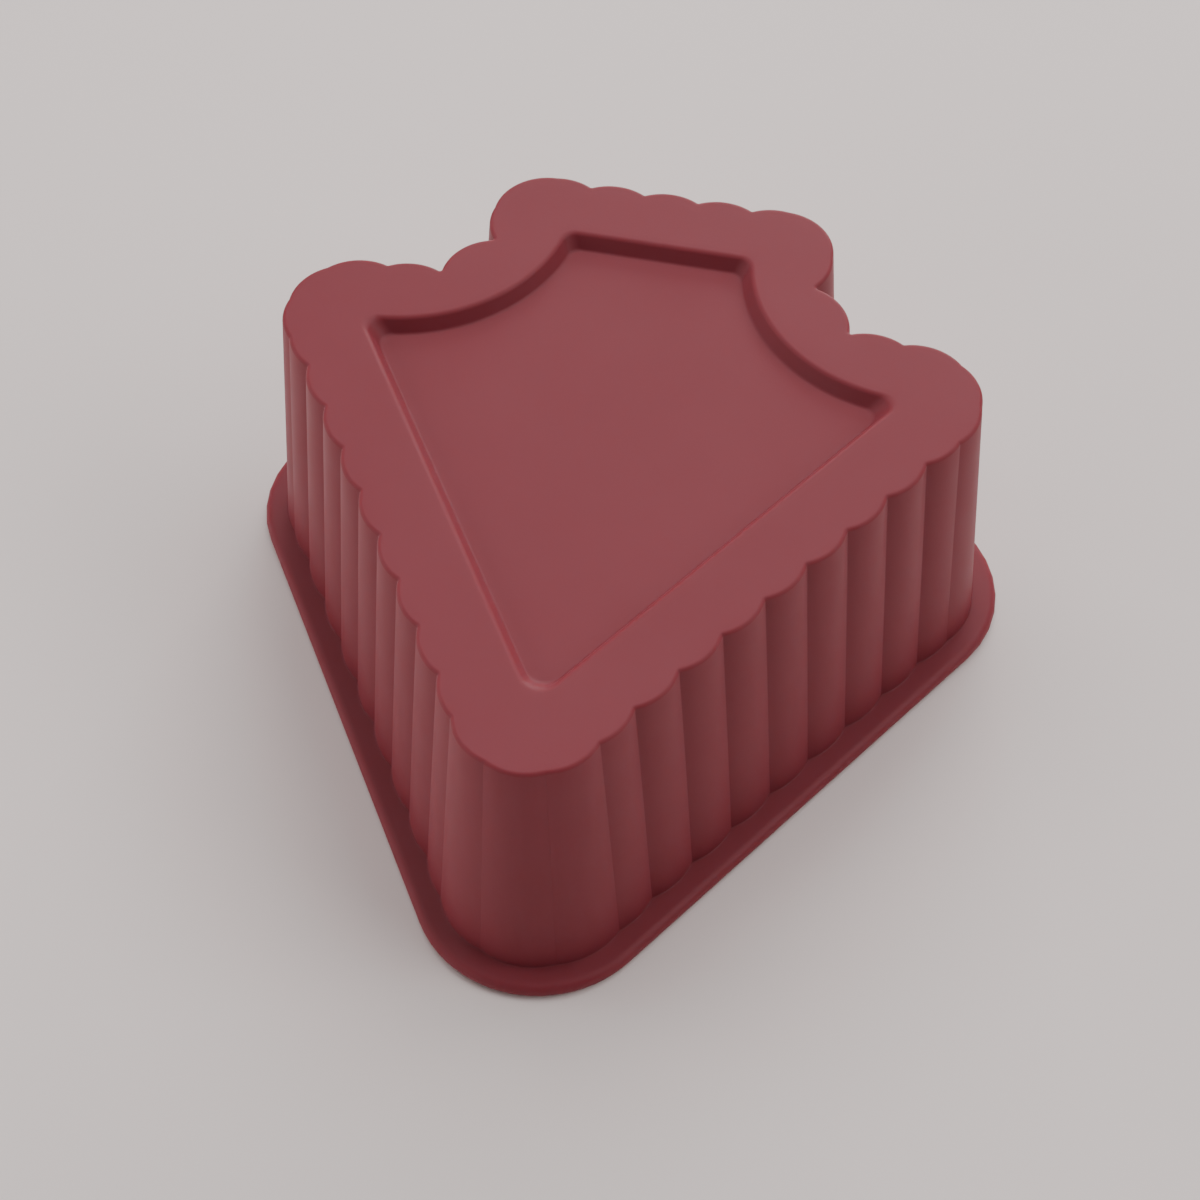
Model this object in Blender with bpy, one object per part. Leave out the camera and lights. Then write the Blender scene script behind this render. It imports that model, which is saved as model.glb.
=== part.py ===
"""Flexible casting mould with a fluted wall and a flat rim, standing on its open rim.

The mould is one moulding of silicone rubber, so it is one solid: a pocket that opens
downwards, a rim flange round its mouth, and a closed base on top with a sunk panel.
Units are millimetres until the mesh is written in metres. +Z is up, +Y runs along the
line of symmetry from the pointed end to the flat end, and the origin is under the
middle of the rim, on the surface that the mould stands on.
"""
import math

import bmesh
import bpy

MM = 0.001

# Panel outline: a shield with a pointed front, two shoulders scooped by an arc, and a
# flat back. Every other outline of the mould is set off from this one.
APEX_TO_BACK = 69.6          # sharp front point to the flat back edge
APEX_TO_SHOULDER = 50.9      # front point to the shoulder corner, along Y
SHOULDER_HALF = 33.1         # shoulder corner, out from the line of symmetry
SCOOP_RADIUS = 20.9          # arc that joins shoulder and back
SCOOP_HALF = 32.5            # its centre, out from the line of symmetry
SCOOP_FROM_APEX = 71.8       # its centre, along Y from the front point

# Heights
RIM_THICKNESS = 2.0
WALL_HEIGHT = 36.2           # top of the rim to the closed base
WALL = 2.5                   # thickness of the rubber, the same everywhere

# Rim flange
RIM_OFFSET = 15.0            # rim edge, out from the panel outline
RIM_ROUND = 0.95             # rounding of the rim's edge

# Flutes: upright rounded lobes whose centres stand just outside the panel outline
FLUTE_OFFSET = 2.4           # centres, out from the panel outline
FLUTE_PITCH = 6.78
FLUTE_RADIUS_BASE = 6.6      # lobe radius at the closed base
FLUTE_RADIUS_RIM = 9.6       # lobe radius at the rim: the draft lets the casting out
SIDE_FLUTES = 9              # on each straight side
FIRST_SIDE_FLUTE = 4.0       # first centre, along the side from the front point
CORNER_STEP = math.radians(45)
SHOULDER_FLUTES = 3          # fanned round each shoulder corner
SHOULDER_FIRST = math.radians(-18)
SCOOP_FLUTES = ((28.05, 53.85), (18.4, 59.9))            # half width, from the front point
BACK_CORNER_FLUTES = ((14.75, 70.5), (14.6, 71.9), (13.6, 72.0))
EDGE_ROUND = 0.5             # rounding of the base's outer edge

# Sunk panel
PANEL_INSET = 0.12           # its upper edge, in from the drawn outline
PANEL_DEPTH = 1.9
PANEL_SLOPE = 1.05           # how far its sides lean in from top to bottom
PANEL_APEX_RADIUS = 2.4
PANEL_CORNER_RADIUS = 1.7    # at the shoulders and at the back

# Fineness of the mesh
FLUTE_CHORD = 1.5            # longest chord on a flute
CUSP_STEPS = 2               # chords round each cusp inside the cavity
CORNER_STEPS = 12            # chords round each corner of an outline
SCOOP_STEPS = 10             # chords along each scooped shoulder
ROUND_STEPS = 3              # chords round each rounded edge
ON_AXIS = 1e-6               # a point nearer than this to the line of symmetry is on it

# Finish
SILICONE_RED = (0.27, 0.075, 0.08, 1.0)
SILICONE_ROUGHNESS = 0.5
SHARP_ANGLE = math.radians(25)

# Worked out from the above
HEIGHT = RIM_THICKNESS + WALL_HEIGHT
SIDE_ANGLE = math.atan2(SHOULDER_HALF, APEX_TO_SHOULDER)
APEX_Y = -(APEX_TO_BACK + 2 * RIM_OFFSET) / 2 + RIM_OFFSET
BACK_Y = APEX_Y + APEX_TO_BACK
SCOOP_CENTRE = (SCOOP_HALF, APEX_Y + SCOOP_FROM_APEX)
SIDE_NORMAL = (math.cos(SIDE_ANGLE), -math.sin(SIDE_ANGLE))
SIDE_RUN = (math.sin(SIDE_ANGLE), math.cos(SIDE_ANGLE))
SIDE_DISTANCE = APEX_Y * SIDE_NORMAL[1]   # side line's distance from the origin


def on_circle(centre, radius, angle):
    return (centre[0] + radius * math.cos(angle), centre[1] + radius * math.sin(angle))


def direction(start, end):
    return math.atan2(end[1] - start[1], end[0] - start[0])


def arc(centre, radius, start, end, steps):
    """Points along an arc, both ends included, turning the way start and end say."""
    return [on_circle(centre, radius, start + (end - start) * i / steps) for i in range(steps + 1)]


def mirrored(half):
    """Closes a right-hand half outline that runs from front to back."""
    left = [(-x, y) for x, y in reversed(half) if x > ON_AXIS]
    return half + left


def side_point(distance, reach, about):
    """Point at a distance from the side line's parallel through the origin, on a circle."""
    foot = about[0] * SIDE_NORMAL[0] + about[1] * SIDE_NORMAL[1] - distance
    along = -math.sqrt(reach ** 2 - foot ** 2)
    return (about[0] - foot * SIDE_NORMAL[0] + along * SIDE_RUN[0],
            about[1] - foot * SIDE_NORMAL[1] + along * SIDE_RUN[1])


def shield(offset, apex_radius, shoulder_radius, back_radius):
    """The panel outline set off outwards, its corners rounded to the given radii."""
    scoop = SCOOP_RADIUS - offset
    apex = (0.0, (SIDE_DISTANCE + offset - apex_radius) / SIDE_NORMAL[1])
    shoulder = side_point(SIDE_DISTANCE + offset - shoulder_radius, scoop + shoulder_radius,
                          SCOOP_CENTRE)
    back_y = BACK_Y + offset - back_radius
    back_reach = scoop + back_radius
    back = (SCOOP_CENTRE[0] - math.sqrt(back_reach ** 2 - (SCOOP_CENTRE[1] - back_y) ** 2), back_y)
    full_turn = 2 * math.pi
    half = arc(apex, apex_radius, -math.pi / 2, -SIDE_ANGLE, CORNER_STEPS)
    half += arc(shoulder, shoulder_radius, -SIDE_ANGLE, direction(shoulder, SCOOP_CENTRE),
                CORNER_STEPS)
    half += arc(SCOOP_CENTRE, scoop, direction(SCOOP_CENTRE, shoulder) % full_turn,
                direction(SCOOP_CENTRE, back) % full_turn, SCOOP_STEPS)[1:-1]
    half += arc(back, back_radius, direction(back, SCOOP_CENTRE), math.pi / 2, CORNER_STEPS)
    return mirrored(half)


def panel_outline(offset):
    """The panel's edge, set off outwards; its corners keep their radii at every depth."""
    return shield(offset - PANEL_INSET, PANEL_APEX_RADIUS, PANEL_CORNER_RADIUS,
                  PANEL_CORNER_RADIUS)


def rim_outline(offset):
    """The rim's edge, whose corners are round about the corners of the drawn outline."""
    return shield(offset, offset, offset, offset)


def flute_centres():
    """Centres of the flutes, anticlockwise from the front point."""
    front = (0.0, APEX_Y)
    shoulder = (SHOULDER_HALF, APEX_Y + APEX_TO_SHOULDER)
    half = [on_circle(front, FLUTE_OFFSET, -math.pi / 2),
            on_circle(front, FLUTE_OFFSET, -math.pi / 2 + CORNER_STEP)]
    for i in range(SIDE_FLUTES):
        along = FIRST_SIDE_FLUTE + FLUTE_PITCH * i
        half.append((SIDE_RUN[0] * along + SIDE_NORMAL[0] * FLUTE_OFFSET,
                     APEX_Y + SIDE_RUN[1] * along + SIDE_NORMAL[1] * FLUTE_OFFSET))
    for i in range(SHOULDER_FLUTES):
        half.append(on_circle(shoulder, FLUTE_OFFSET, SHOULDER_FIRST + CORNER_STEP * i))
    half += [(x, APEX_Y + y) for x, y in SCOOP_FLUTES + BACK_CORNER_FLUTES]
    half += [(FLUTE_PITCH, BACK_Y + FLUTE_OFFSET), (0.0, BACK_Y + FLUTE_OFFSET)]
    return mirrored(half)


def cusps(centres, radius):
    """Where each flute meets the next one, on the outside of the mould."""
    points = []
    for a, b in zip(centres, centres[1:] + centres[:1]):
        half_gap = math.dist(a, b) / 2
        rise = math.sqrt(radius ** 2 - half_gap ** 2)
        away = direction(a, b) - math.pi / 2
        middle = ((a[0] + b[0]) / 2, (a[1] + b[1]) / 2)
        points.append(on_circle(middle, rise, away))
    return points


def turn(start, end):
    """The angle from start to end, the short way round."""
    return (end - start + math.pi) % (2 * math.pi) - math.pi


CENTRES = flute_centres()


def flute_steps():
    """How many chords each flute gets, counted where it is widest."""
    corners = cusps(CENTRES, FLUTE_RADIUS_RIM)
    steps = []
    for i, centre in enumerate(CENTRES):
        swing = turn(direction(centre, corners[i - 1]), direction(centre, corners[i]))
        steps.append(max(1, math.ceil(swing * FLUTE_RADIUS_RIM / FLUTE_CHORD)))
    return steps


STEPS = flute_steps()


def fluted(radius, inset=0.0):
    """Outline of flutes of the given radius, or the same set in by a constant distance.

    Set in, each flute's arc shrinks and each cusp turns into an arc of its own.
    """
    corners = cusps(CENTRES, radius)
    points = []
    for i, centre in enumerate(CENTRES):
        start = direction(centre, corners[i - 1])
        end = start + turn(start, direction(centre, corners[i]))
        if inset == 0.0:
            points += [on_circle(centre, radius, start + (end - start) * k / STEPS[i])
                       for k in range(STEPS[i])]
            continue
        points += [on_circle(centre, radius - inset, start + (end - start) * k / STEPS[i])
                   for k in range(STEPS[i] + 1)]
        following = CENTRES[(i + 1) % len(CENTRES)]
        swing = turn(end, direction(following, corners[i]))
        points += [on_circle(corners[i], -inset, end + swing * k / CUSP_STEPS)
                   for k in range(1, CUSP_STEPS)]
    return points


def flute_radius(z):
    """The flutes' radius at a height: they widen evenly from the base to the rim."""
    share = (HEIGHT - z) / WALL_HEIGHT
    return FLUTE_RADIUS_BASE + (FLUTE_RADIUS_RIM - FLUTE_RADIUS_BASE) * share


def add_ring(bm, outline, z):
    verts = [bm.verts.new((x * MM, y * MM, z * MM)) for x, y in outline]
    for a, b in zip(verts, verts[1:] + verts[:1]):
        bm.edges.new((a, b))
    return verts


def ring_edges(bm, ring):
    return [bm.edges.get((a, b)) for a, b in zip(ring, ring[1:] + ring[:1])]


def skin(bm, rings):
    """Faces between rings of equal count."""
    for low, high in zip(rings, rings[1:]):
        count = len(low)
        for i in range(count):
            j = (i + 1) % count
            bm.faces.new((low[i], low[j], high[j], high[i]))


def cap(bm, *rings):
    """A flat face inside one ring, or between two that lie in one plane."""
    edges = []
    for ring in rings:
        edges += ring_edges(bm, ring)
    bmesh.ops.triangle_fill(bm, use_beauty=True, use_dissolve=False, edges=edges)


def rounding():
    """Quarter round as pairs: how far out, how far down, both from 0 to 1."""
    angles = [math.pi / 2 * k / ROUND_STEPS for k in range(ROUND_STEPS + 1)]
    return [(math.sin(angle), 1 - math.cos(angle)) for angle in angles]


def build_shell(bm):
    """The whole moulding, from the panel on top, down the outside and up the inside."""
    # Sunk panel in the closed base
    panel_rings = []
    for share in (0.0, 1.0):
        outline = panel_outline(-PANEL_SLOPE * share)
        panel_rings.append(add_ring(bm, outline, HEIGHT - PANEL_DEPTH * share))
    skin(bm, panel_rings)
    cap(bm, panel_rings[-1])

    # Rounded edge of the base, then the fluted wall down to the rim
    wall_rings = []
    for out, down in rounding():
        z = HEIGHT - EDGE_ROUND * down
        radius = flute_radius(HEIGHT - EDGE_ROUND) - EDGE_ROUND * (1 - out)
        wall_rings.append(add_ring(bm, fluted(radius), z))
    wall_rings.append(add_ring(bm, fluted(FLUTE_RADIUS_RIM), RIM_THICKNESS))
    skin(bm, wall_rings)
    cap(bm, panel_rings[0], wall_rings[0])

    # Rim flange with a rounded edge
    rim_rings = []
    for out, down in rounding():
        outline = rim_outline(RIM_OFFSET - RIM_ROUND * (1 - out))
        rim_rings.append(add_ring(bm, outline, RIM_THICKNESS - RIM_ROUND * down))
    for out, down in reversed(rounding()):
        outline = rim_outline(RIM_OFFSET - RIM_ROUND * (1 - out))
        rim_rings.append(add_ring(bm, outline, RIM_ROUND * down))
    skin(bm, rim_rings)
    cap(bm, wall_rings[-1], rim_rings[0])

    # Inside: the cavity wall, the underside of the base, and the raised underside of the panel
    ceiling = HEIGHT - WALL
    cavity_rings = [add_ring(bm, fluted(flute_radius(z), WALL), z) for z in (0.0, ceiling)]
    skin(bm, cavity_rings)
    cap(bm, rim_rings[-1], cavity_rings[0])
    lean = math.atan2(PANEL_SLOPE, PANEL_DEPTH)
    spread = WALL / math.cos(lean) - WALL * math.tan(lean)
    plateau_rings = []
    for share in (0.0, 1.0):
        outline = panel_outline(spread - PANEL_SLOPE * share)
        plateau_rings.append(add_ring(bm, outline, ceiling - PANEL_DEPTH * share))
    skin(bm, plateau_rings)
    cap(bm, cavity_rings[1], plateau_rings[0])
    cap(bm, plateau_rings[-1])


def silicone():
    """Satin brick-red silicone rubber."""
    material = bpy.data.materials.new("brick_red_silicone")
    material.use_nodes = True
    shader = material.node_tree.nodes["Principled BSDF"]
    shader.inputs["Base Color"].default_value = SILICONE_RED
    shader.inputs["Roughness"].default_value = SILICONE_ROUGHNESS
    shader.inputs["Metallic"].default_value = 0.0
    return material


for old in list(bpy.data.objects):
    bpy.data.objects.remove(old, do_unlink=True)

shell = bmesh.new()
build_shell(shell)
bmesh.ops.recalc_face_normals(shell, faces=shell.faces)
mesh = bpy.data.meshes.new("mould_body")
shell.to_mesh(mesh)
shell.free()
mesh.shade_smooth()
mesh.set_sharp_from_angle(angle=SHARP_ANGLE)
mesh.materials.append(silicone())
mould = bpy.data.objects.new("mould_body", mesh)
bpy.context.scene.collection.objects.link(mould)
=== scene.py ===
"""A flexible casting mould of brick-red silicone rubber, standing on its open rim.

The mould is one moulding, so it is one piece here too. It is built up from its outline: the
posts that the flutes stand on, the fluted outside, the cavity inside, and last the sunk
panel, the rim flange and the flats that join them into one closed skin. Sizes are in
millimetres and become metres where a mesh is made. +Y runs along the line of symmetry, from
the pointed end to the flat end, and +Z is up.
"""

import math

import bmesh
import bpy
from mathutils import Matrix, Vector


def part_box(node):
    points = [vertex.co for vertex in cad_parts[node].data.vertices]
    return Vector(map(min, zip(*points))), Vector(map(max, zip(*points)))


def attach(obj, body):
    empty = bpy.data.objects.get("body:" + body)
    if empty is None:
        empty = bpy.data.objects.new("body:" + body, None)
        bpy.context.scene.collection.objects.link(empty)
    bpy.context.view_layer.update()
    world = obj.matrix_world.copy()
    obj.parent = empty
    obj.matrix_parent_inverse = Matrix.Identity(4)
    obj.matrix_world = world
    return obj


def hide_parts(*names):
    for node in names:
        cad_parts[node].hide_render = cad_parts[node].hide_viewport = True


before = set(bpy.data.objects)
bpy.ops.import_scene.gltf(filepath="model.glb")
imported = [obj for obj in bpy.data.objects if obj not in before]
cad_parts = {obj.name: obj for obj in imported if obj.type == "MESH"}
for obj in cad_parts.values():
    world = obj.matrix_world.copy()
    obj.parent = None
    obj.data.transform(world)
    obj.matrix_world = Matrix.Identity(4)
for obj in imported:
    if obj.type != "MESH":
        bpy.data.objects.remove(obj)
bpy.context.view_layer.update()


# The panel outline. The toolmaker draws one line, a shield with a pointed front, two scooped
# shoulders and a flat back, and sets the sunk panel, the flutes and the rim off from it.
MM = 0.001
mould_low, mould_high = (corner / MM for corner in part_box("mould_body"))

RIM_OFFSET = 15.0            # the rim's edge, out from the panel outline
APEX_Y = mould_low.y + RIM_OFFSET
BACK_Y = mould_high.y - RIM_OFFSET
BASE_Z = mould_high.z
APEX_TO_SHOULDER = 50.9      # front point to the shoulder corner, along Y
SHOULDER_HALF = 33.1         # shoulder corner, out from the line of symmetry
SCOOP_RADIUS = 20.9
SCOOP_HALF = 32.5            # its centre, out from the line of symmetry
SCOOP_FROM_APEX = 71.8       # its centre, along Y from the front point
SCOOP_CENTRE = (SCOOP_HALF, APEX_Y + SCOOP_FROM_APEX)
SIDE_ANGLE = math.atan2(SHOULDER_HALF, APEX_TO_SHOULDER)
SIDE_NORMAL = (math.cos(SIDE_ANGLE), -math.sin(SIDE_ANGLE))
SIDE_RUN = (math.sin(SIDE_ANGLE), math.cos(SIDE_ANGLE))
SIDE_DISTANCE = APEX_Y * SIDE_NORMAL[1]

CORNER_STATIONS = 12         # points round each corner of the outline
SCOOP_STATIONS = 36          # points along each scooped shoulder
SIDE_STATIONS = 24           # points along each straight side
BACK_STATIONS = 12           # points along the half of the flat back
ON_AXIS = 0.001              # a point nearer than this to the line of symmetry is on it


def on_circle(centre, radius, angle):
    return (centre[0] + radius * math.cos(angle), centre[1] + radius * math.sin(angle))


def direction(start, end):
    return math.atan2(end[1] - start[1], end[0] - start[0])


def arc(centre, radius, start, end, stations):
    """Points along an arc, both ends included."""
    return [on_circle(centre, radius, start + (end - start) * i / stations)
            for i in range(stations + 1)]


def straight(start, end, stations):
    """Points along a straight stretch, without its two ends."""
    return [(start[0] + (end[0] - start[0]) * i / stations,
             start[1] + (end[1] - start[1]) * i / stations) for i in range(1, stations)]


def mirrored(half):
    """Closes a right-hand half outline that runs from the front point to the back."""
    return half + [(-x, y) for x, y in reversed(half) if x > ON_AXIS]


def side_point(distance, reach, about):
    """Where a line parallel to the straight side meets a circle, on the front side."""
    foot = about[0] * SIDE_NORMAL[0] + about[1] * SIDE_NORMAL[1] - distance
    along = -math.sqrt(reach ** 2 - foot ** 2)
    return (about[0] - foot * SIDE_NORMAL[0] + along * SIDE_RUN[0],
            about[1] - foot * SIDE_NORMAL[1] + along * SIDE_RUN[1])


def shield(offset, apex_radius, shoulder_radius, back_radius):
    """The panel outline set off outwards, its corners rounded to the given radii."""
    scoop = SCOOP_RADIUS - offset
    apex = (0.0, (SIDE_DISTANCE + offset - apex_radius) / SIDE_NORMAL[1])
    shoulder = side_point(SIDE_DISTANCE + offset - shoulder_radius, scoop + shoulder_radius,
                          SCOOP_CENTRE)
    back_y = BACK_Y + offset - back_radius
    back_reach = math.sqrt((scoop + back_radius) ** 2 - (SCOOP_CENTRE[1] - back_y) ** 2)
    back = (SCOOP_CENTRE[0] - back_reach, back_y)
    full_turn = 2 * math.pi
    half = arc(apex, apex_radius, -math.pi / 2, -SIDE_ANGLE, CORNER_STATIONS)
    round_shoulder = arc(shoulder, shoulder_radius, -SIDE_ANGLE,
                         direction(shoulder, SCOOP_CENTRE), CORNER_STATIONS)
    half += straight(half[-1], round_shoulder[0], SIDE_STATIONS) + round_shoulder
    half += arc(SCOOP_CENTRE, scoop, direction(SCOOP_CENTRE, shoulder) % full_turn,
                direction(SCOOP_CENTRE, back) % full_turn, SCOOP_STATIONS)[1:-1]
    half += arc(back, back_radius, direction(back, SCOOP_CENTRE), math.pi / 2, CORNER_STATIONS)
    half += straight(half[-1], (0.0, BACK_Y + offset), BACK_STATIONS) + [(0.0, BACK_Y + offset)]
    return mirrored(half)


# The flutes' posts. The wall is a row of 40 upright rounded lobes, as a round cutter leaves
# them in the tool. Each lobe is an arc about its own post, and the posts stand just outside
# the panel outline: evenly along the sides and the back, and fanned round the corners.
FLUTE_OFFSET = 2.4           # posts, out from the panel outline
FLUTE_PITCH = 6.78
SIDE_FLUTES = 9
FIRST_SIDE_FLUTE = 4.0       # along the side, from the front point
CORNER_STEP = math.radians(45)
SHOULDER_FLUTES = 3
SHOULDER_FIRST = math.radians(-18)
SCOOP_FLUTES = ((28.05, 53.85), (18.4, 59.9))            # half width, from the front point
BACK_CORNER_FLUTES = ((14.75, 70.5), (14.6, 71.9), (13.6, 72.0))


def flute_posts():
    """The posts, anticlockwise from the front point."""
    front = (0.0, APEX_Y)
    shoulder = (SHOULDER_HALF, APEX_Y + APEX_TO_SHOULDER)
    half = [on_circle(front, FLUTE_OFFSET, -math.pi / 2),
            on_circle(front, FLUTE_OFFSET, -math.pi / 2 + CORNER_STEP)]
    for i in range(SIDE_FLUTES):
        along = FIRST_SIDE_FLUTE + FLUTE_PITCH * i
        half.append((SIDE_RUN[0] * along + SIDE_NORMAL[0] * FLUTE_OFFSET,
                     APEX_Y + SIDE_RUN[1] * along + SIDE_NORMAL[1] * FLUTE_OFFSET))
    for i in range(SHOULDER_FLUTES):
        half.append(on_circle(shoulder, FLUTE_OFFSET, SHOULDER_FIRST + CORNER_STEP * i))
    half += [(x, APEX_Y + y) for x, y in SCOOP_FLUTES + BACK_CORNER_FLUTES]
    half += [(FLUTE_PITCH, BACK_Y + FLUTE_OFFSET), (0.0, BACK_Y + FLUTE_OFFSET)]
    return mirrored(half)


def object_of_points(name, points):
    """A mesh object that only holds points, given in millimetres."""
    mesh = bpy.data.meshes.new(name)
    mesh.from_pydata([Vector(point) * MM for point in points], [], [])
    holder = bpy.data.objects.new(name, mesh)
    bpy.context.scene.collection.objects.link(holder)
    return holder


posts = object_of_points("flute_posts", [(x, y, 0.0) for x, y in flute_posts()])


# The silicone. Silicone rubber, injected into a finely blasted steel tool: a satin, slightly
# waxy skin of one even brick red that lets a little light in along thin edges. Its only
# marks are faintly cloudy pigment, the tool's fine grain and a sheen uneven from handling.
CLOUD_WIDTH = 22.0
CLOUD_RANGE = (0.35, 0.65)           # noise between the two reds
PALE_RED, DEEP_RED = "#853841", "#83363F"
SHEEN_WIDTH = 9.0
SHEEN_RANGE = (0.3, 0.7)             # noise between the two roughnesses
SMOOTHEST, ROUGHEST = 0.48, 0.52
GRAIN_WIDTH = 0.35
GRAIN_DEPTH = 0.02
GRAIN_STRENGTH = 0.35
SILICONE_IOR = 1.41
SILICONE_SHINE = 0.25                # specular level: a waxy skin reflects little
LIGHT_LET_IN = 0.6                   # share of the light that scatters under the skin
SCATTER_DEPTH = 1.5
SCATTER_BY_COLOUR = (1.0, 0.35, 0.3)          # red light goes deepest


def linear(hex_colour):
    """An sRGB hex colour as the linear colour that a shader takes."""
    channels = [int(hex_colour[i:i + 2], 16) / 255 for i in (1, 3, 5)]
    return [c / 12.92 if c <= 0.04045 else ((c + 0.055) / 1.055) ** 2.4 for c in channels] + [1.0]


def add_node(tree, kind, settings=None, inputs=None):
    """Adds a node. An input is a value, an output, or a node, which feeds its first output."""
    node = tree.nodes.new(kind)
    for name, value in (settings or {}).items():
        setattr(node, name, value)
    for name, value in (inputs or {}).items():
        if isinstance(value, bpy.types.Node):
            value = value.outputs[0]
        if isinstance(value, bpy.types.NodeSocket):
            tree.links.new(value, node.inputs[name])
        else:
            node.inputs[name].default_value = value
    return node


def moulded_silicone():
    material = bpy.data.materials.new("moulded_silicone_rubber")
    material.use_nodes = True
    tree = material.node_tree
    tree.nodes.clear()
    place = add_node(tree, "ShaderNodeTexCoord").outputs["Object"]

    # Pigment clouds between two close reds
    clouds = add_node(tree, "ShaderNodeTexNoise", None,
                      {"Vector": place, "Scale": 1 / (CLOUD_WIDTH * MM),
                       "Detail": 3.0, "Roughness": 0.5})
    cloud_share = add_node(tree, "ShaderNodeMapRange", None,
                           {"Value": clouds, "From Min": CLOUD_RANGE[0],
                            "From Max": CLOUD_RANGE[1]})
    red = add_node(tree, "ShaderNodeMix", {"data_type": "RGBA"},
                   {"Factor": cloud_share, "A": linear(DEEP_RED), "B": linear(PALE_RED)})

    # Sheen, uneven from handling
    handling = add_node(tree, "ShaderNodeTexNoise", None,
                        {"Vector": place, "Scale": 1 / (SHEEN_WIDTH * MM), "Detail": 2.0})
    roughness = add_node(tree, "ShaderNodeMapRange", None,
                         {"Value": handling, "From Min": SHEEN_RANGE[0],
                          "From Max": SHEEN_RANGE[1], "To Min": SMOOTHEST, "To Max": ROUGHEST})

    # Blasted grain. Such a grain is about 0.05 mm, and is drawn coarser so that it shows
    grain = add_node(tree, "ShaderNodeTexNoise", None,
                     {"Vector": place, "Scale": 1 / (GRAIN_WIDTH * MM), "Detail": 2.0})
    relief = add_node(tree, "ShaderNodeBump", None,
                      {"Height": grain, "Strength": GRAIN_STRENGTH,
                       "Distance": GRAIN_DEPTH * MM})

    shader = add_node(tree, "ShaderNodeBsdfPrincipled", None,
                      {"Base Color": red.outputs["Result"], "Roughness": roughness,
                       "Normal": relief, "Metallic": 0.0, "IOR": SILICONE_IOR,
                       "Specular IOR Level": SILICONE_SHINE, "Subsurface Weight": LIGHT_LET_IN,
                       "Subsurface Radius": SCATTER_BY_COLOUR,
                       "Subsurface Scale": SCATTER_DEPTH * MM})
    add_node(tree, "ShaderNodeOutputMaterial", None, {"Surface": shader})
    return material


silicone = moulded_silicone()


# The flute sweep. Wall and cavity are the same row of lobes cut by different sections, so
# one Geometry Nodes tree makes both: it walks round the posts, and at each height of a
# section it draws every lobe's arc and the small round of the crease beside it.
ARC_POINTS = 16              # points along each lobe
CREASE_POINTS = 5            # points round each crease
WELD = 0.001                 # points closer than this are one point


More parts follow.
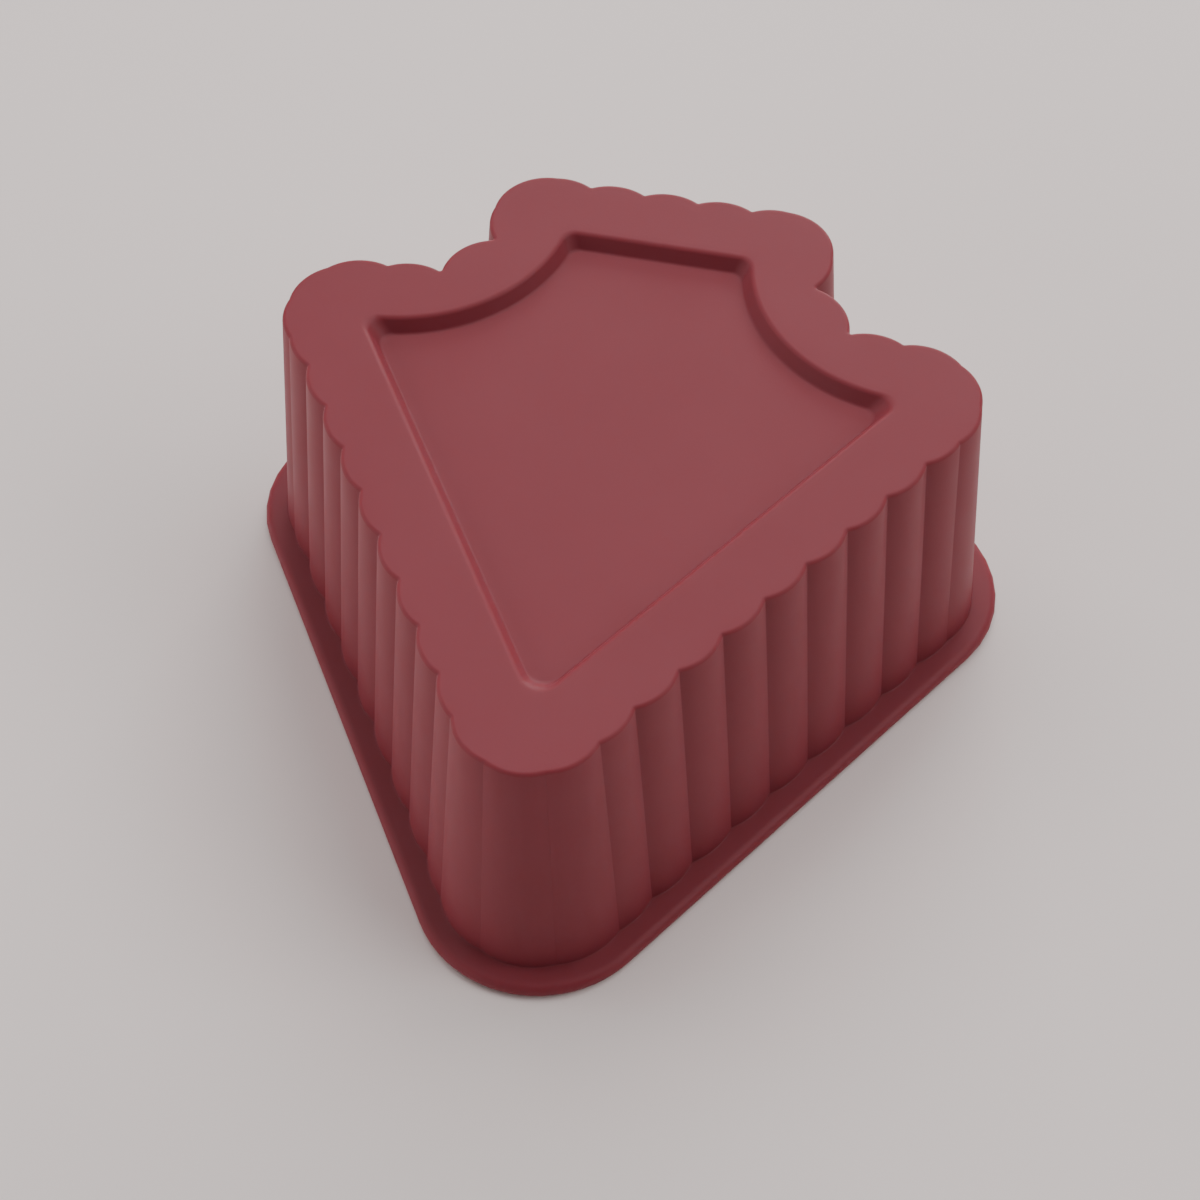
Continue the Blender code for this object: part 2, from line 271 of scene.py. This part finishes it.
def flute_sweep():
    tree = bpy.data.node_groups.new("flute_sweep", "GeometryNodeTree")
    for name, kind in (("Posts", "NodeSocketGeometry"), ("Section", "NodeSocketObject"),
                       ("Arc Points", "NodeSocketInt"), ("Crease Points", "NodeSocketInt"),
                       ("Weld Distance", "NodeSocketFloat"), ("Rubber", "NodeSocketMaterial")):
        tree.interface.new_socket(name, in_out="INPUT", socket_type=kind)
    tree.interface.new_socket("Geometry", in_out="OUTPUT", socket_type="NodeSocketGeometry")
    given = add_node(tree, "NodeGroupInput").outputs
    section = add_node(tree, "GeometryNodeObjectInfo", None,
                       {"Object": given["Section"]}).outputs["Geometry"]

    # A grid with a row for each height and a column for each station round the wall
    post_count = add_node(tree, "GeometryNodeAttributeDomainSize", None,
                          {"Geometry": given["Posts"]})
    rows = add_node(tree, "GeometryNodeAttributeDomainSize", None, {"Geometry": section})
    per_flute = add_node(tree, "FunctionNodeIntegerMath", {"operation": "ADD"},
                         {0: given["Arc Points"], 1: given["Crease Points"]})
    columns = add_node(tree, "FunctionNodeIntegerMath", {"operation": "MULTIPLY_ADD"},
                       {0: post_count, 1: per_flute, 2: 1})
    grid = add_node(tree, "GeometryNodeMeshGrid", None, {"Vertices X": columns, "Vertices Y": rows})
    index = add_node(tree, "GeometryNodeInputIndex")
    column = add_node(tree, "FunctionNodeIntegerMath", {"operation": "DIVIDE_FLOOR"},
                      {0: index, 1: rows})
    row = add_node(tree, "FunctionNodeIntegerMath", {"operation": "FLOORED_MODULO"},
                   {0: index, 1: rows})
    flute = add_node(tree, "FunctionNodeIntegerMath", {"operation": "DIVIDE_FLOOR"},
                     {0: column, 1: per_flute})
    station = add_node(tree, "FunctionNodeIntegerMath", {"operation": "FLOORED_MODULO"},
                       {0: column, 1: per_flute})

    # This height's cut through the section
    position = add_node(tree, "GeometryNodeInputPosition")
    cut = add_node(tree, "GeometryNodeSampleIndex", {"data_type": "FLOAT_VECTOR"},
                   {"Geometry": section, "Value": position, "Index": row})
    lobe_radius, crease_radius, height = add_node(tree, "ShaderNodeSeparateXYZ", None,
                                                  {"Vector": cut}).outputs
    reach = add_node(tree, "ShaderNodeMath", {"operation": "ADD"},
                     {0: lobe_radius, 1: crease_radius})

    def post(step):
        """The post that stands so many steps on from this lobe's."""
        other = add_node(tree, "FunctionNodeIntegerMath", {"operation": "ADD"},
                         {0: flute, 1: step})
        wrapped = add_node(tree, "FunctionNodeIntegerMath", {"operation": "FLOORED_MODULO"},
                           {0: other, 1: post_count})
        return add_node(tree, "GeometryNodeSampleIndex", {"data_type": "FLOAT_VECTOR"},
                        {"Geometry": given["Posts"], "Value": position, "Index": wrapped})

    def towards(neighbour):
        """Direction to a neighbour's post, and how far off it the crease's round touches."""
        way = add_node(tree, "ShaderNodeVectorMath", {"operation": "SUBTRACT"},
                       {0: neighbour, 1: here})
        part = add_node(tree, "ShaderNodeSeparateXYZ", None, {"Vector": way}).outputs
        angle = add_node(tree, "ShaderNodeMath", {"operation": "ARCTAN2"},
                         {0: part["Y"], 1: part["X"]})
        length = add_node(tree, "ShaderNodeVectorMath", {"operation": "LENGTH"}, {0: way})
        half = add_node(tree, "ShaderNodeMath", {"operation": "MULTIPLY"},
                        {0: length.outputs["Value"], 1: 0.5})
        share = add_node(tree, "ShaderNodeMath", {"operation": "DIVIDE"}, {0: half, 1: reach})
        return angle, add_node(tree, "ShaderNodeMath", {"operation": "ARCCOSINE"}, {0: share})

    # Where the lobe's arc starts and ends, and this station's place along it
    here = post(0)
    last_angle, last_open = towards(post(-1))
    next_angle, next_open = towards(post(1))
    start = add_node(tree, "ShaderNodeMath", {"operation": "ADD"}, {0: last_angle, 1: last_open})
    end = add_node(tree, "ShaderNodeMath", {"operation": "SUBTRACT"},
                   {0: next_angle, 1: next_open})
    plain_swing = add_node(tree, "ShaderNodeMath", {"operation": "SUBTRACT"}, {0: end, 1: start})
    swing = add_node(tree, "ShaderNodeMath", {"operation": "WRAP"},
                     {0: plain_swing, 1: 2 * math.pi, 2: 0.0})
    arc_share = add_node(tree, "ShaderNodeMath", {"operation": "DIVIDE"},
                         {0: station, 1: given["Arc Points"]})
    before_end = add_node(tree, "ShaderNodeMath", {"operation": "SUBTRACT"},
                          {0: arc_share, 1: 1.0})
    lobe_angle = add_node(tree, "ShaderNodeMath", {"operation": "MULTIPLY_ADD"},
                          {0: before_end, 1: swing, 2: end})

    # Its place on the crease's round, about a point that lies outside between the two lobes
    past_arc = add_node(tree, "ShaderNodeMath", {"operation": "SUBTRACT"},
                        {0: station, 1: given["Arc Points"]})
    crease_share = add_node(tree, "ShaderNodeMath", {"operation": "DIVIDE"},
                            {0: past_arc, 1: given["Crease Points"]})
    crease_turn = add_node(tree, "ShaderNodeMath", {"operation": "MULTIPLY_ADD"},
                           {0: next_open, 1: 2.0, 2: -math.pi})
    crease_angle = add_node(tree, "ShaderNodeMath", {"operation": "MULTIPLY_ADD"},
                            {0: crease_share, 1: crease_turn, 2: end})

    def polar(radius, angle):
        """A flat arm of a given length and direction."""
        cosine = add_node(tree, "ShaderNodeMath", {"operation": "COSINE"}, {0: angle})
        sine = add_node(tree, "ShaderNodeMath", {"operation": "SINE"}, {0: angle})
        arm = add_node(tree, "ShaderNodeCombineXYZ", None, {"X": cosine, "Y": sine})
        return add_node(tree, "ShaderNodeVectorMath", {"operation": "SCALE"},
                        {0: arm, "Scale": radius})

    on_lobe = polar(lobe_radius, lobe_angle)
    on_crease = add_node(tree, "ShaderNodeVectorMath", {"operation": "SUBTRACT"},
                         {0: polar(reach, end), 1: polar(crease_radius, crease_angle)})
    past_lobe = add_node(tree, "FunctionNodeCompare",
                         {"data_type": "INT", "operation": "GREATER_THAN"},
                         {2: station, 3: given["Arc Points"]})
    spot = add_node(tree, "GeometryNodeSwitch", {"input_type": "VECTOR"},
                    {"Switch": past_lobe, "False": on_lobe, "True": on_crease})
    from_post = add_node(tree, "ShaderNodeVectorMath", {"operation": "ADD"}, {0: spot, 1: here})
    lift = add_node(tree, "ShaderNodeCombineXYZ", None, {"Z": height})
    placed = add_node(tree, "ShaderNodeVectorMath", {"operation": "ADD"},
                      {0: from_post, 1: lift})
    wall = add_node(tree, "GeometryNodeSetPosition", None, {"Geometry": grid, "Position": placed})
    welded = add_node(tree, "GeometryNodeMergeByDistance", None,
                      {"Geometry": wall, "Distance": given["Weld Distance"]})
    real = add_node(tree, "GeometryNodeRealizeInstances", None, {"Geometry": welded})
    painted = add_node(tree, "GeometryNodeSetMaterial", None,
                       {"Geometry": real, "Material": given["Rubber"]})
    add_node(tree, "NodeGroupOutput", None, {"Geometry": painted})
    return tree


flute_tree = flute_sweep()


def swept_flutes(name, section):
    """The mesh that the flute sweep makes of a section: (lobe radius, crease radius, height)."""
    guide = object_of_points(name + "_section", section)
    sweep = posts.modifiers.new(name, "NODES")
    sweep.node_group = flute_tree
    inputs = {item.name: item.identifier for item in flute_tree.interface.items_tree
              if item.in_out == "INPUT"}
    for socket, value in (("Section", guide), ("Arc Points", ARC_POINTS),
                          ("Crease Points", CREASE_POINTS), ("Weld Distance", WELD * MM),
                          ("Rubber", silicone)):
        sweep[inputs[socket]] = value
    evaluated = posts.evaluated_get(bpy.context.evaluated_depsgraph_get())
    mesh = bpy.data.meshes.new_from_object(evaluated)
    posts.modifiers.remove(sweep)
    bpy.data.objects.remove(guide)
    return mesh


# The fluted outside. The wall leans in from the rim to the base, so that the rubber comes
# off its tool: the lobes shrink from 9.6 mm to 6.6 mm. The base's edge is slightly
# rounded, and the wall's foot runs into the rim with a hair of a fillet.
RIM_THICKNESS = 2.0
RIM_TOP = mould_low.z + RIM_THICKNESS
LOBE_AT_BASE = 6.6
LOBE_AT_RIM = 9.6
EDGE_ROUND = 0.5             # the base's outer edge
FOOT_ROUND = 0.15            # the wall's foot
CREASE = 0.25                # round at the bottom of each crease
LEAST_CREASE = 0.12          # the crease's round where the wall's foot spreads outwards
LAND = 0.3                   # strip of flat rubber meshed along each rounded edge
ROUND_STEPS = 6
WALL_RUNGS = 8               # rows of faces up the wall


def lobe_at(z):
    """The lobes' radius at a height: they shrink evenly from the rim to the base."""
    share = (BASE_Z - z) / (BASE_Z - RIM_TOP)
    return LOBE_AT_BASE + (LOBE_AT_RIM - LOBE_AT_BASE) * share


def eased(corners):
    """A section (out, height, radius) with each corner rounded to its radius."""
    line = [Vector(corners[0][:2])]
    for before, corner, after in zip(corners, corners[1:], corners[2:]):
        sharp = Vector(corner[:2])
        back = (Vector(before[:2]) - sharp).normalized()
        ahead = (Vector(after[:2]) - sharp).normalized()
        half = back.angle(ahead) / 2
        middle = sharp + (back + ahead).normalized() * corner[2] / math.sin(half)
        start = sharp + back * corner[2] / math.tan(half) - middle
        end = sharp + ahead * corner[2] / math.tan(half) - middle
        sweep = start.angle_signed(end)
        for k in range(ROUND_STEPS + 1):
            angle = math.atan2(start.y, start.x) - sweep * k / ROUND_STEPS
            line.append(Vector(on_circle(middle, corner[2], angle)))
    line.append(Vector(corners[-1][:2]))
    return line


def with_rungs(line, gap):
    """The same section with every long straight stretch divided."""
    divided = [line[0]]
    for a, b in zip(line, line[1:]):
        parts = max(1, round((b - a).length / gap))
        divided += [a.lerp(b, k / parts) for k in range(1, parts + 1)]
    return divided


def fluted_section(line):
    """Adds the crease's round, which grows as the lobes are set in and shrinks outwards."""
    return [(out, max(LEAST_CREASE, CREASE + lobe_at(z) - out), z) for out, z in line]


RUNG = (BASE_Z - RIM_TOP) / WALL_RUNGS
outside_line = eased([(LOBE_AT_BASE - EDGE_ROUND - LAND, BASE_Z, 0.0),
                      (LOBE_AT_BASE, BASE_Z, EDGE_ROUND),
                      (LOBE_AT_RIM, RIM_TOP, FOOT_ROUND),
                      (LOBE_AT_RIM + FOOT_ROUND + LAND, RIM_TOP, 0.0)])
outside = swept_flutes("fluted_outside", fluted_section(with_rungs(outside_line, RUNG)))


# The cavity. Resin is poured in from the open side, so the inside is the casting's shape:
# the same lobes set in by the rubber's even 2.5 mm, with a slightly rounded mouth and a
# soft fillet where the wall meets the underside of the base.
WALL = 2.5                   # thickness of the rubber
CEILING_Z = BASE_Z - WALL
MOUTH_Z = mould_low.z
MOUTH_ROUND = 0.5
CEILING_ROUND = 1.2

cavity_line = eased([(lobe_at(MOUTH_Z) - WALL + MOUTH_ROUND + LAND, MOUTH_Z, 0.0),
                     (lobe_at(MOUTH_Z) - WALL, MOUTH_Z, MOUTH_ROUND),
                     (lobe_at(CEILING_Z) - WALL, CEILING_Z, CEILING_ROUND),
                     (lobe_at(CEILING_Z) - WALL - CEILING_ROUND - LAND, CEILING_Z, 0.0)])
cavity = swept_flutes("cavity", fluted_section(with_rungs(cavity_line, RUNG)))
bpy.data.objects.remove(posts)


# The moulding. Base, wall, rim and cavity are one shot of rubber with no seam, so their
# surfaces are joined into one closed skin: the two fluted surfaces, the sunk panel, its
# raised underside, the rim's rounded edge, and the flats between them.
RIM_ROUND = 0.95             # rounding of the rim's edge, top and bottom
PANEL_DEPTH = 1.9
PANEL_SLOPE = 1.05           # how far the panel's sides lean in from top to bottom
PANEL_APEX_RADIUS = 2.4
PANEL_CORNER_RADIUS = 1.7    # at the shoulders and at the back
PANEL_TOP_ROUND = 0.8
PANEL_FOOT_ROUND = 0.45
PANEL_INSET = 0.12           # the panel's sharp edge, in from the drawn outline


def panel_outline(offset):
    return shield(offset - PANEL_INSET, PANEL_APEX_RADIUS, PANEL_CORNER_RADIUS,
                  PANEL_CORNER_RADIUS)


def rim_outline(offset):
    return shield(offset, offset, offset, offset)


def swept_outline(bm, outline, line):
    """Skins an outline along a section of (offset, height)."""
    rings = []
    for offset, z in line:
        rings.append([bm.verts.new((x * MM, y * MM, z * MM)) for x, y in outline(offset)])
    for low, high in zip(rings, rings[1:]):
        for i in range(len(low)):
            bm.faces.new((low[i - 1], low[i], high[i], high[i - 1]))


def fill_flats(bm):
    """Closes every open edge loop, or pair of loops, with a flat face at its own height."""
    open_edges = {}
    for edge in bm.edges:
        if edge.is_boundary:
            open_edges.setdefault(round(edge.verts[0].co.z / (MM * WELD)), []).append(edge)
    for edges in open_edges.values():
        bmesh.ops.triangle_fill(bm, use_beauty=True, use_dissolve=False, edges=edges)


skin = bmesh.new()
skin.from_mesh(outside)
skin.from_mesh(cavity)

# Sunk panel, from the base down its leaning sides to its floor
floor_z = BASE_Z - PANEL_DEPTH
swept_outline(skin, panel_outline,
              eased([(PANEL_TOP_ROUND + LAND, BASE_Z, 0.0), (0.0, BASE_Z, PANEL_TOP_ROUND),
                     (-PANEL_SLOPE, floor_z, PANEL_FOOT_ROUND),
                     (-PANEL_SLOPE - PANEL_FOOT_ROUND - LAND, floor_z, 0.0)]))

# Its underside, which keeps the rubber's thickness on the leaning sides too
lean = math.atan2(PANEL_SLOPE, PANEL_DEPTH)
spread = WALL / math.cos(lean) - WALL * math.tan(lean)
under_z = CEILING_Z - PANEL_DEPTH
swept_outline(skin, panel_outline,
              eased([(spread + PANEL_FOOT_ROUND + LAND, CEILING_Z, 0.0),
                     (spread, CEILING_Z, PANEL_FOOT_ROUND),
                     (spread - PANEL_SLOPE, under_z, PANEL_TOP_ROUND),
                     (spread - PANEL_SLOPE - PANEL_TOP_ROUND - LAND, under_z, 0.0)]))

# Rim flange
swept_outline(skin, rim_outline,
              eased([(RIM_OFFSET - RIM_ROUND - LAND, RIM_TOP, 0.0),
                     (RIM_OFFSET, RIM_TOP, RIM_ROUND), (RIM_OFFSET, MOUTH_Z, RIM_ROUND),
                     (RIM_OFFSET - RIM_ROUND - LAND, MOUTH_Z, 0.0)]))

fill_flats(skin)
bmesh.ops.recalc_face_normals(skin, faces=skin.faces)
shell_mesh = bpy.data.meshes.new("mould_shell")
skin.to_mesh(shell_mesh)
skin.free()
bpy.data.meshes.remove(outside)
bpy.data.meshes.remove(cavity)
shell_mesh.materials.clear()
shell_mesh.materials.append(silicone)
shell_mesh.shade_smooth()
mould_shell = bpy.data.objects.new("mould_shell", shell_mesh)
bpy.context.scene.collection.objects.link(mould_shell)
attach(mould_shell, "root")
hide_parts("mould_body")


# The table. A plain pale sheet of matt card, which runs well past the edges of the camera's
# view. Only from a low angle does its unlit far edge show.
TABLE_HALF = 3.0             # metres
CARD_COLOUR = "#EFE2DF"
CARD_ROUGHNESS = 0.9


def matt_card():
    material = bpy.data.materials.new("matt_card")
    material.use_nodes = True
    shader = material.node_tree.nodes["Principled BSDF"]
    shader.inputs["Base Color"].default_value = linear(CARD_COLOUR)
    shader.inputs["Roughness"].default_value = CARD_ROUGHNESS
    return material


table_z = mould_low.z * MM
table_mesh = bpy.data.meshes.new("table")
table_mesh.from_pydata([(x * TABLE_HALF, y * TABLE_HALF, table_z)
                        for x, y in ((-1, -1), (1, -1), (1, 1), (-1, 1))], [], [(0, 1, 2, 3)])
table_mesh.materials.append(matt_card())
table = bpy.data.objects.new("table", table_mesh)
bpy.context.scene.collection.objects.link(table)


# Studio light. Large soft boxes stand round the mould: high ones behind and beside it light
# the base, low ones reach along the table to the walls, and a dim even sky lifts the rest.
BOX_DISTANCE = 1.3           # metres
BOX_SIDE = 0.8               # metres
SKY_COLOUR = "#FFFAF8"
SKY_STRENGTH = 0.02
centre = Vector(((mould_low.x + mould_high.x) / 2, (mould_low.y + mould_high.y) / 2,
                 mould_high.z / 2)) * MM


def soft_box(name, azimuth, elevation, distance, side, power):
    """A square light aimed at the mould. Azimuth turns from the front towards the right."""
    light = bpy.data.lights.new(name, "AREA")
    light.shape = "SQUARE"
    light.size = side
    light.energy = power
    lamp = bpy.data.objects.new(name, light)
    turn, rise = math.radians(azimuth), math.radians(elevation)
    away = Vector((math.sin(turn) * math.cos(rise), -math.cos(turn) * math.cos(rise),
                   math.sin(rise)))
    lamp.location = centre + away * distance
    lamp.rotation_euler = away.to_track_quat("Z", "Y").to_euler()
    bpy.context.scene.collection.objects.link(lamp)


for name, azimuth, elevation, power in (
        ("right_shoulder_box", 120, 60, 5.5), ("back_box", 180, 60, 5.8),
        ("left_shoulder_box", 240, 60, 4.9), ("right_box", 90, 35, 5.1),
        ("low_back_box", 180, 15, 9.9), ("low_left_box", 270, 15, 4.4),
        ("low_left_front_box", 315, 15, 4.1)):
    soft_box(name, azimuth, elevation, BOX_DISTANCE, BOX_SIDE, power)

sky = bpy.data.worlds.new("even_sky")
sky.use_nodes = True
sky.node_tree.nodes["Background"].inputs["Color"].default_value = linear(SKY_COLOUR)
sky.node_tree.nodes["Background"].inputs["Strength"].default_value = SKY_STRENGTH
bpy.context.scene.world = sky


# The camera. It stands over the front point, a little to the right, and looks steeply down
# on the base, so that the front wall and both rows of flutes show.
CAMERA_TURN = math.radians(12.12)        # round from the front, towards the right
CAMERA_RISE = math.radians(53.43)
CAMERA_ROLL = math.radians(-0.17)
CAMERA_DISTANCE = 269.7
CAMERA_AIM = Vector((4.22, APEX_Y + 14.96, BASE_Z))      # a point on the base
CAMERA_LENS = 73.956
NEAREST_SEEN = 0.01          # metres

camera = bpy.data.objects.new("camera", bpy.data.cameras.new("camera"))
camera.data.lens = CAMERA_LENS
camera.data.clip_start = NEAREST_SEEN
away = Vector((math.sin(CAMERA_TURN) * math.cos(CAMERA_RISE),
               -math.cos(CAMERA_TURN) * math.cos(CAMERA_RISE), math.sin(CAMERA_RISE)))
camera.location = (CAMERA_AIM + away * CAMERA_DISTANCE) * MM
camera.rotation_euler = away.to_track_quat("Z", "Y").to_euler()
camera.rotation_euler.rotate_axis("Z", CAMERA_ROLL)
bpy.context.scene.collection.objects.link(camera)
bpy.context.scene.camera = camera
